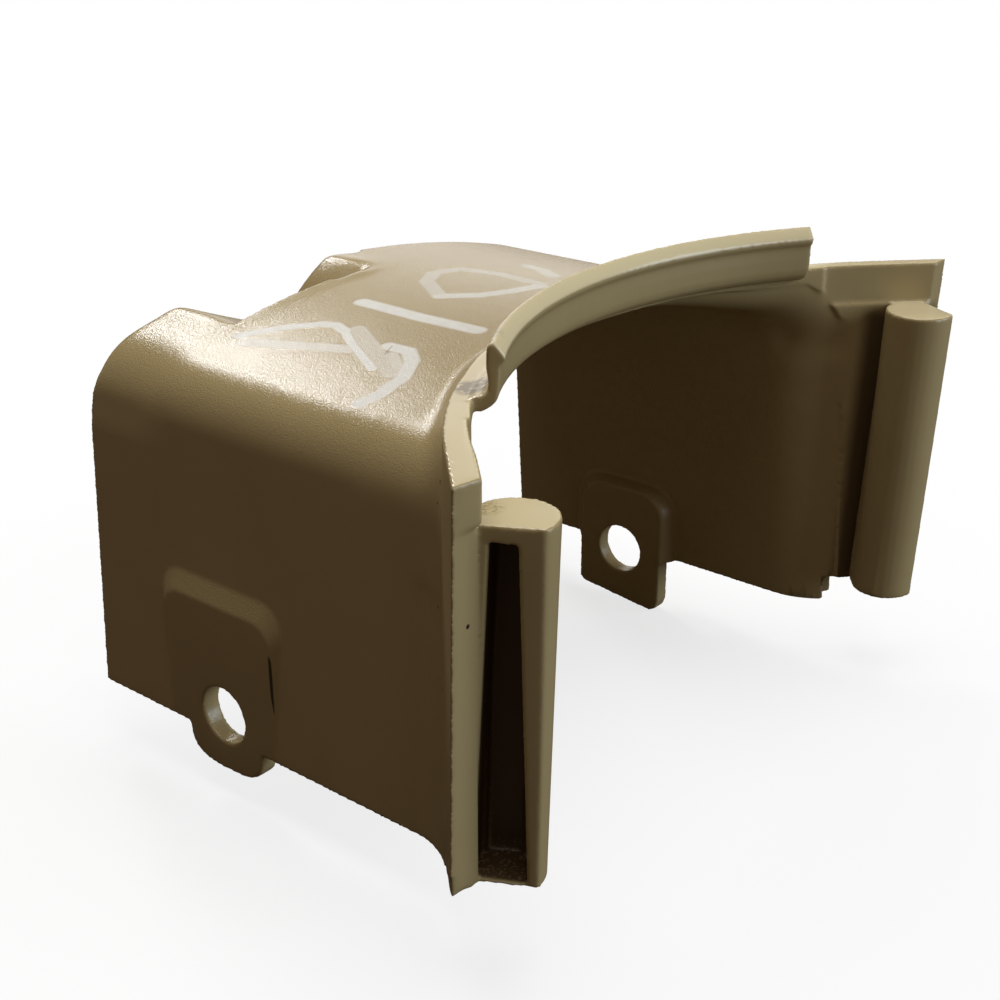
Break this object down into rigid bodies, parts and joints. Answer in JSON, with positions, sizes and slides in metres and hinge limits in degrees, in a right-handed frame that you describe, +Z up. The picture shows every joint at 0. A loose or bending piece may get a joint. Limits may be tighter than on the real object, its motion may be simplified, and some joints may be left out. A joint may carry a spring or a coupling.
{
  "type": "tractor joint cover",
  "caption": "Saddle-shaped moulded cover for a tractor joint, with a round flat-topped rim, a clip lip, slotted corner posts and drilled side tabs.",
  "frame": {"origin": "middle of the length and of the front opening's width, at the level of the tabs' lowest point", "axes": "+X towards the open front with the posts, +Y to the far side wall, +Z up to the crown and the clip lip"},
  "size_m": [0.0913, 0.1224, 0.0775],
  "materials": {
    "moulding": "satin khaki, fine leather grain outside"
  },
  "bodies": {
    "root": {"joint_cover": "moulding"}
  },
  "joints": []
}
